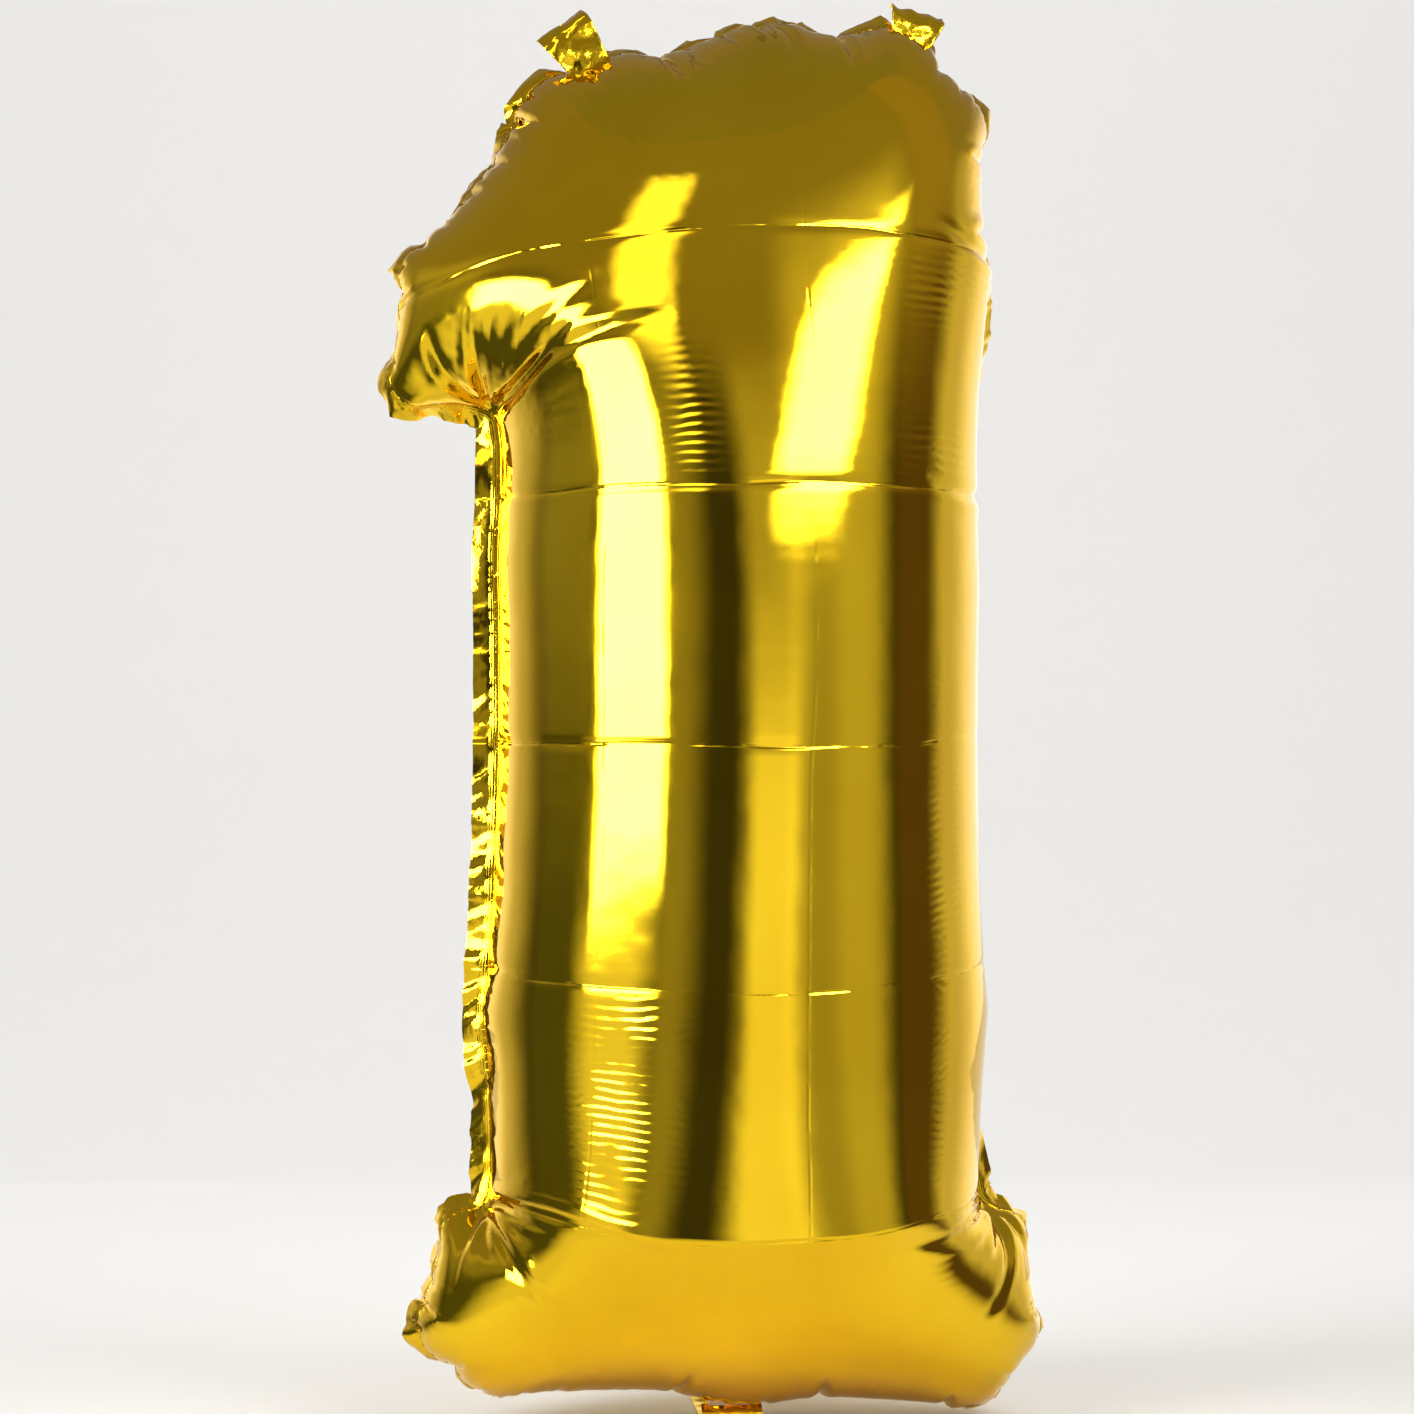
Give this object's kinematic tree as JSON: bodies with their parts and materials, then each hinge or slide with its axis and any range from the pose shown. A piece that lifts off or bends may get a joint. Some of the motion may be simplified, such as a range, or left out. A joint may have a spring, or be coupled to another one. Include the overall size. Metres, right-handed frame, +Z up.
{
  "type": "foil number balloon",
  "caption": "Inflated foil balloon shaped as the number one, with two film panels sealed at the edge, punched hanging tabs, a filling neck and an inner valve sleeve.",
  "frame": {"origin": "midway between the centres of the two hanging holes, in the plane of the seam, where a hanging line holds the balloon", "axes": "+X to the right seen from the front, +Y from the front to the back, +Z up along the shaft"},
  "size_m": [0.4516, 0.2936, 0.9015],
  "materials": {
    "gold_film": "metallised film, mirror gloss, gold",
    "tab_film": "two plies of metallised film welded flat, gold",
    "neck_film": "metallised film, softly creased, gold",
    "fused_film": "heat-fused film, finely ribbed, deep gold",
    "valve_film": "clear soft film"
  },
  "bodies": {
    "balloon": {"front_panel": "gold_film", "rear_panel": "gold_film", "heat_seal": "fused_film"},
    "tab_left": {"hanging_tab_left": "tab_film"},
    "tab_right": {"hanging_tab_right": "tab_film"},
    "neck": {"neck_front_ply": "neck_film", "neck_rear_ply": "neck_film", "neck_side_welds": "fused_film"},
    "valve": {"valve_film_front": "valve_film", "valve_film_rear": "valve_film", "valve_side_welds": "valve_film"}
  },
  "joints": [
    {"name": "tab_left_bend", "type": "hinge", "parent": "balloon", "child": "tab_left", "pos_m": [-0.10844, 0, -0.01841], "axis": [0.8192, 0, 0.5736], "range_deg": [-85, 85]},
    {"name": "tab_right_bend", "type": "hinge", "parent": "balloon", "child": "tab_right", "pos_m": [0.11285, 0, -0.00658], "axis": [0.9659, 0, -0.2588], "range_deg": [-85, 85]},
    {"name": "neck_fold", "type": "hinge", "parent": "balloon", "child": "neck", "pos_m": [-0.00422, 0, -0.87972], "axis": [-1, 0, 0], "range_deg": [0, 180]},
    {"name": "valve_sway", "type": "hinge", "parent": "balloon", "child": "valve", "pos_m": [-0.00422, 0, -0.86907], "axis": [1, 0, 0], "range_deg": [-30, 30]}
  ]
}
